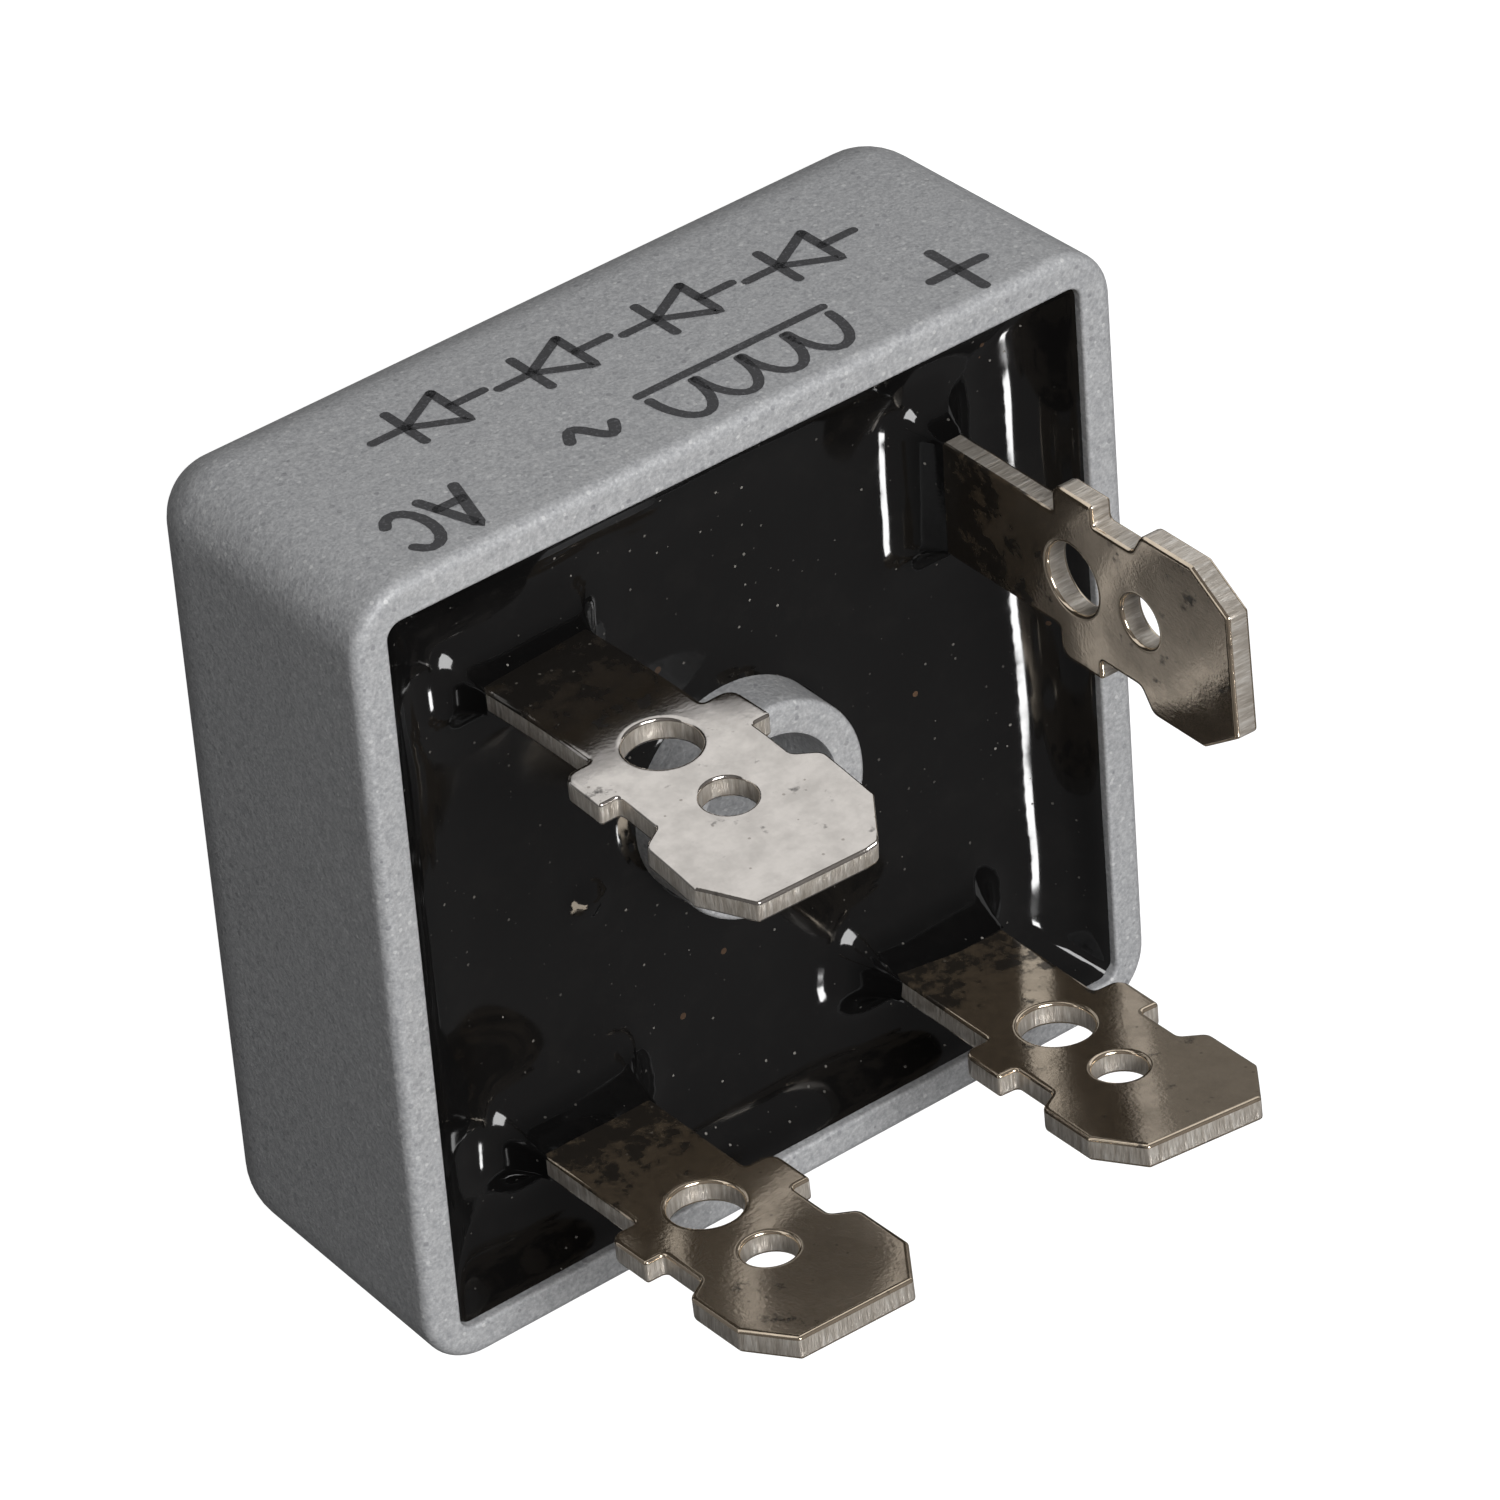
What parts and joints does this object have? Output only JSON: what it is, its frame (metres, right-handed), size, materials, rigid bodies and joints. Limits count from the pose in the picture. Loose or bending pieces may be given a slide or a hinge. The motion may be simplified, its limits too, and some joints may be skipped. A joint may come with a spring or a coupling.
{
  "type": "bridge rectifier",
  "caption": "Square metal-case bridge rectifier: an aluminium cup with a centre screw hole, black potting and upright push-on tabs, for turning AC into DC.",
  "frame": {"origin": "middle of the mounting face, on the screw hole's axis", "axes": "+Z out of the open side along the tabs, -Y towards the marked side, +X to the right of the marked side"},
  "size_m": [0.0286, 0.0286, 0.0245],
  "materials": {
    "case_aluminium": "fine blasted and clear-coated, with a slight sparkle",
    "potting_epoxy": "cast black epoxy, glossy, with menisci and specks of dust",
    "tinned_copper": "bright tin plate over stamped copper sheet",
    "alumina": "fired white ceramic",
    "bond_adhesive": "cured heat-conducting adhesive",
    "silicon_chip": "lapped silicon with a glass ring",
    "solder": "dull soft solder"
  },
  "bodies": {
    "root": {"case": "case_aluminium", "bond_layer": "bond_adhesive", "insulating_plate": "alumina", "terminal_plus": "tinned_copper", "terminal_minus": "tinned_copper", "terminal_ac_front": "tinned_copper", "terminal_ac_back": "tinned_copper", "die_front": "silicon_chip", "die_right": "silicon_chip", "die_back": "silicon_chip", "die_left": "silicon_chip", "solder_under_front": "solder", "solder_under_right": "solder", "solder_under_back": "solder", "solder_under_left": "solder", "solder_over_front": "solder", "solder_over_right": "solder", "solder_over_back": "solder", "solder_over_left": "solder", "potting": "potting_epoxy"}
  },
  "joints": []
}
